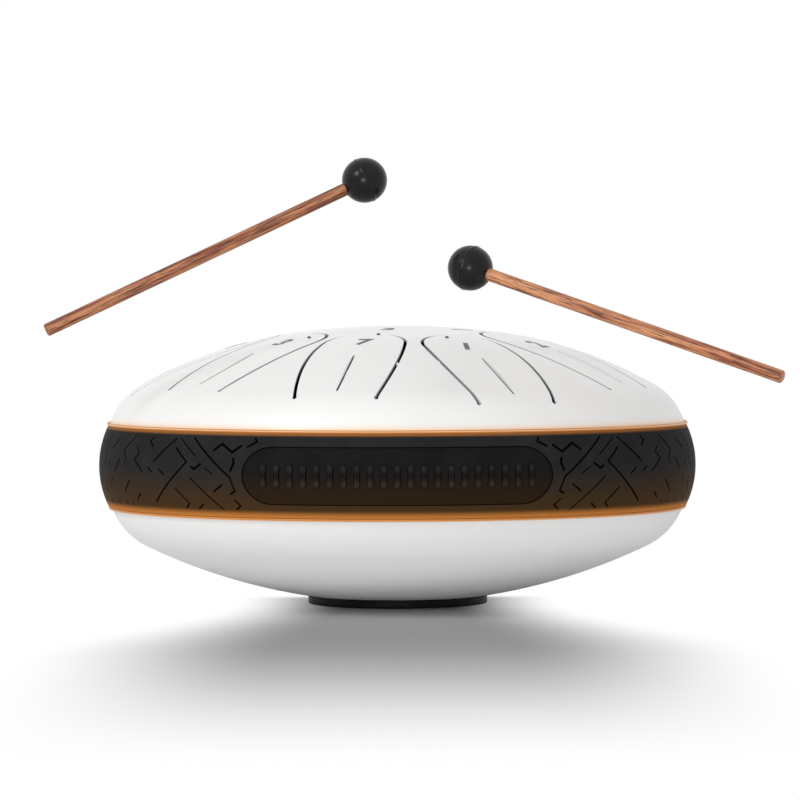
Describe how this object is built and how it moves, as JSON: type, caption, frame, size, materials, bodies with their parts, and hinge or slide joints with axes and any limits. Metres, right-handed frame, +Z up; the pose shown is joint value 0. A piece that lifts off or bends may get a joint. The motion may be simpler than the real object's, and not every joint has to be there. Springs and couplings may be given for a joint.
{
  "type": "steel tongue drum",
  "caption": "Steel tongue drum: pressed bowls joined by a moulded rim band, slit tongues of different lengths on the top, a foot ring round the sound port, and ball-headed wooden mallets.",
  "frame": {"origin": "centre of the sound port, in the plane that the foot ring stands on", "axes": "+Z up along the drum's axis; -Y towards the player, at the middle of the band's long panel; +X to the player's right"},
  "size_m": [0.3597, 0.3146, 0.2261],
  "materials": {
    "shell_enamel": "satin",
    "seal_rubber": "matte",
    "band_rubber": "satin",
    "amber_trim": "satin",
    "foot_rubber": "matte",
    "stick_wood": "lacquered",
    "head_rubber": "satin"
  },
  "bodies": {
    "drum": {"upper_shell": "shell_enamel", "lower_shell": "shell_enamel", "rim_gasket": "seal_rubber", "rim_band": "band_rubber", "upper_trim_bead": "amber_trim", "lower_trim_bead": "amber_trim", "foot_ring": "foot_rubber"},
    "left_mallet": {"left_mallet_stick": "stick_wood", "left_mallet_head": "head_rubber"},
    "right_mallet": {"right_mallet_stick": "stick_wood", "right_mallet_head": "head_rubber"}
  },
  "joints": [
    {"name": "left_strike", "type": "hinge", "parent": "drum", "child": "left_mallet", "pos_m": [-0.14552, -0.098, 0.15383], "axis": [0.1374, -0.9905, 0], "range_deg": [-28.2, 20]},
    {"name": "right_strike", "type": "hinge", "parent": "drum", "child": "right_mallet", "pos_m": [0.15945, -0.14689, 0.12761], "axis": [0.4493, 0.8934, 0], "range_deg": [-11.5, 20]}
  ]
}
